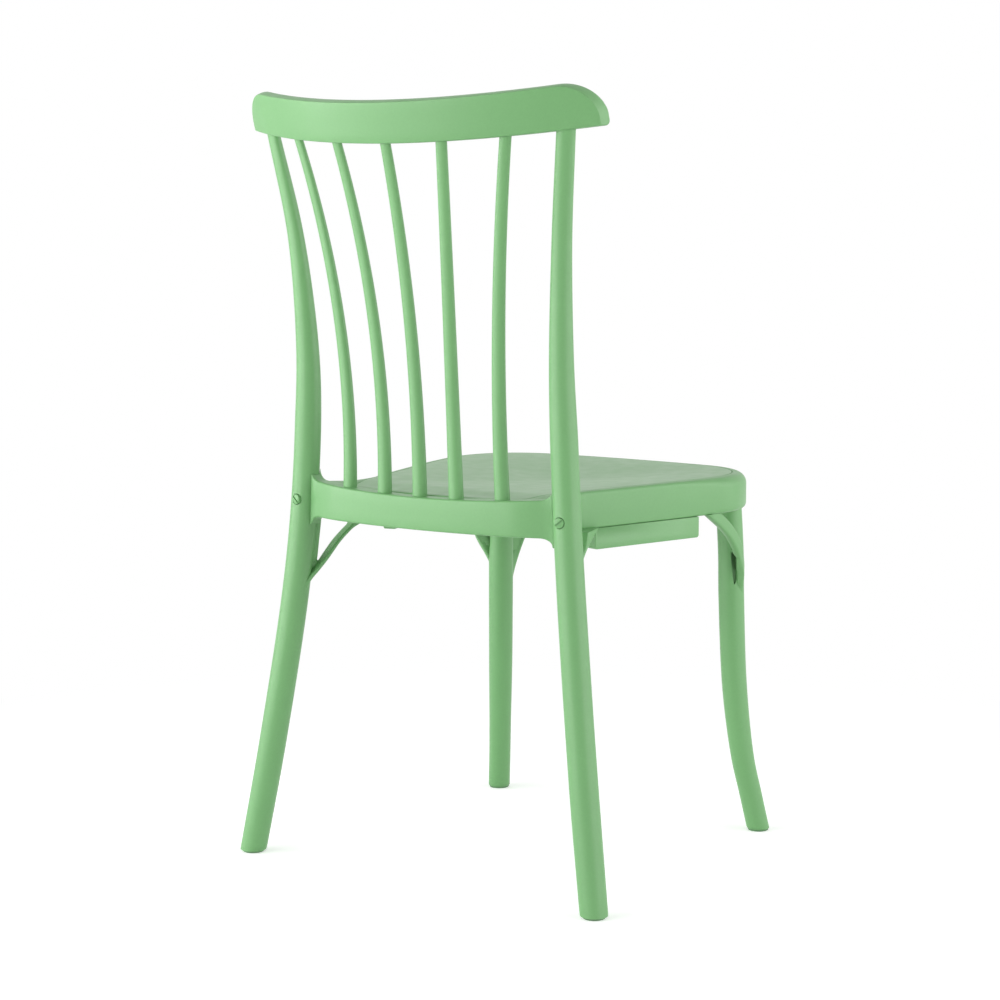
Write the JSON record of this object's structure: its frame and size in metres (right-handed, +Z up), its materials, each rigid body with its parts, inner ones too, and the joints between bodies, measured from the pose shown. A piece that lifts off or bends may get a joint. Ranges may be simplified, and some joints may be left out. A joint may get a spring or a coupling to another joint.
{
  "type": "stacking side chair",
  "caption": "Armless stacking side chair: a curved crest and slim spindles over a rounded, dished seat on splayed legs, with curved braces and planks under the seat that help it stack.",
  "frame": {"origin": "on the floor, under the middle of the chair's bounding box", "axes": "+X is the sitter's left, -Y is the way the sitter faces and +Z is up; the chair is symmetric about the plane x = 0"},
  "size_m": [0.5076, 0.5142, 0.8776],
  "materials": {
    "frame_plastic": "satin",
    "seat_plastic": "satin",
    "screw_paint": "satin",
    "glide_plastic": "matte"
  },
  "bodies": {
    "root": {"crest_rail": "frame_plastic", "rear_leg_left": "frame_plastic", "rear_leg_right": "frame_plastic", "front_leg_left": "frame_plastic", "front_leg_right": "frame_plastic", "rear_brace_left": "frame_plastic", "rear_brace_right": "frame_plastic", "side_brace_left": "frame_plastic", "side_brace_right": "frame_plastic", "front_brace_left": "frame_plastic", "front_brace_right": "frame_plastic", "stacking_rail_left": "frame_plastic", "stacking_rail_right": "frame_plastic", "spindle_1": "frame_plastic", "spindle_2": "frame_plastic", "spindle_3": "frame_plastic", "spindle_4": "frame_plastic", "spindle_5": "frame_plastic", "rear_rail": "frame_plastic", "seat_frame": "frame_plastic", "seat_panel": "seat_plastic", "frame_screw_left": "screw_paint", "frame_screw_right": "screw_paint", "rear_glide_left": "glide_plastic", "rear_glide_right": "glide_plastic", "front_glide_left": "glide_plastic", "front_glide_right": "glide_plastic"}
  },
  "joints": []
}
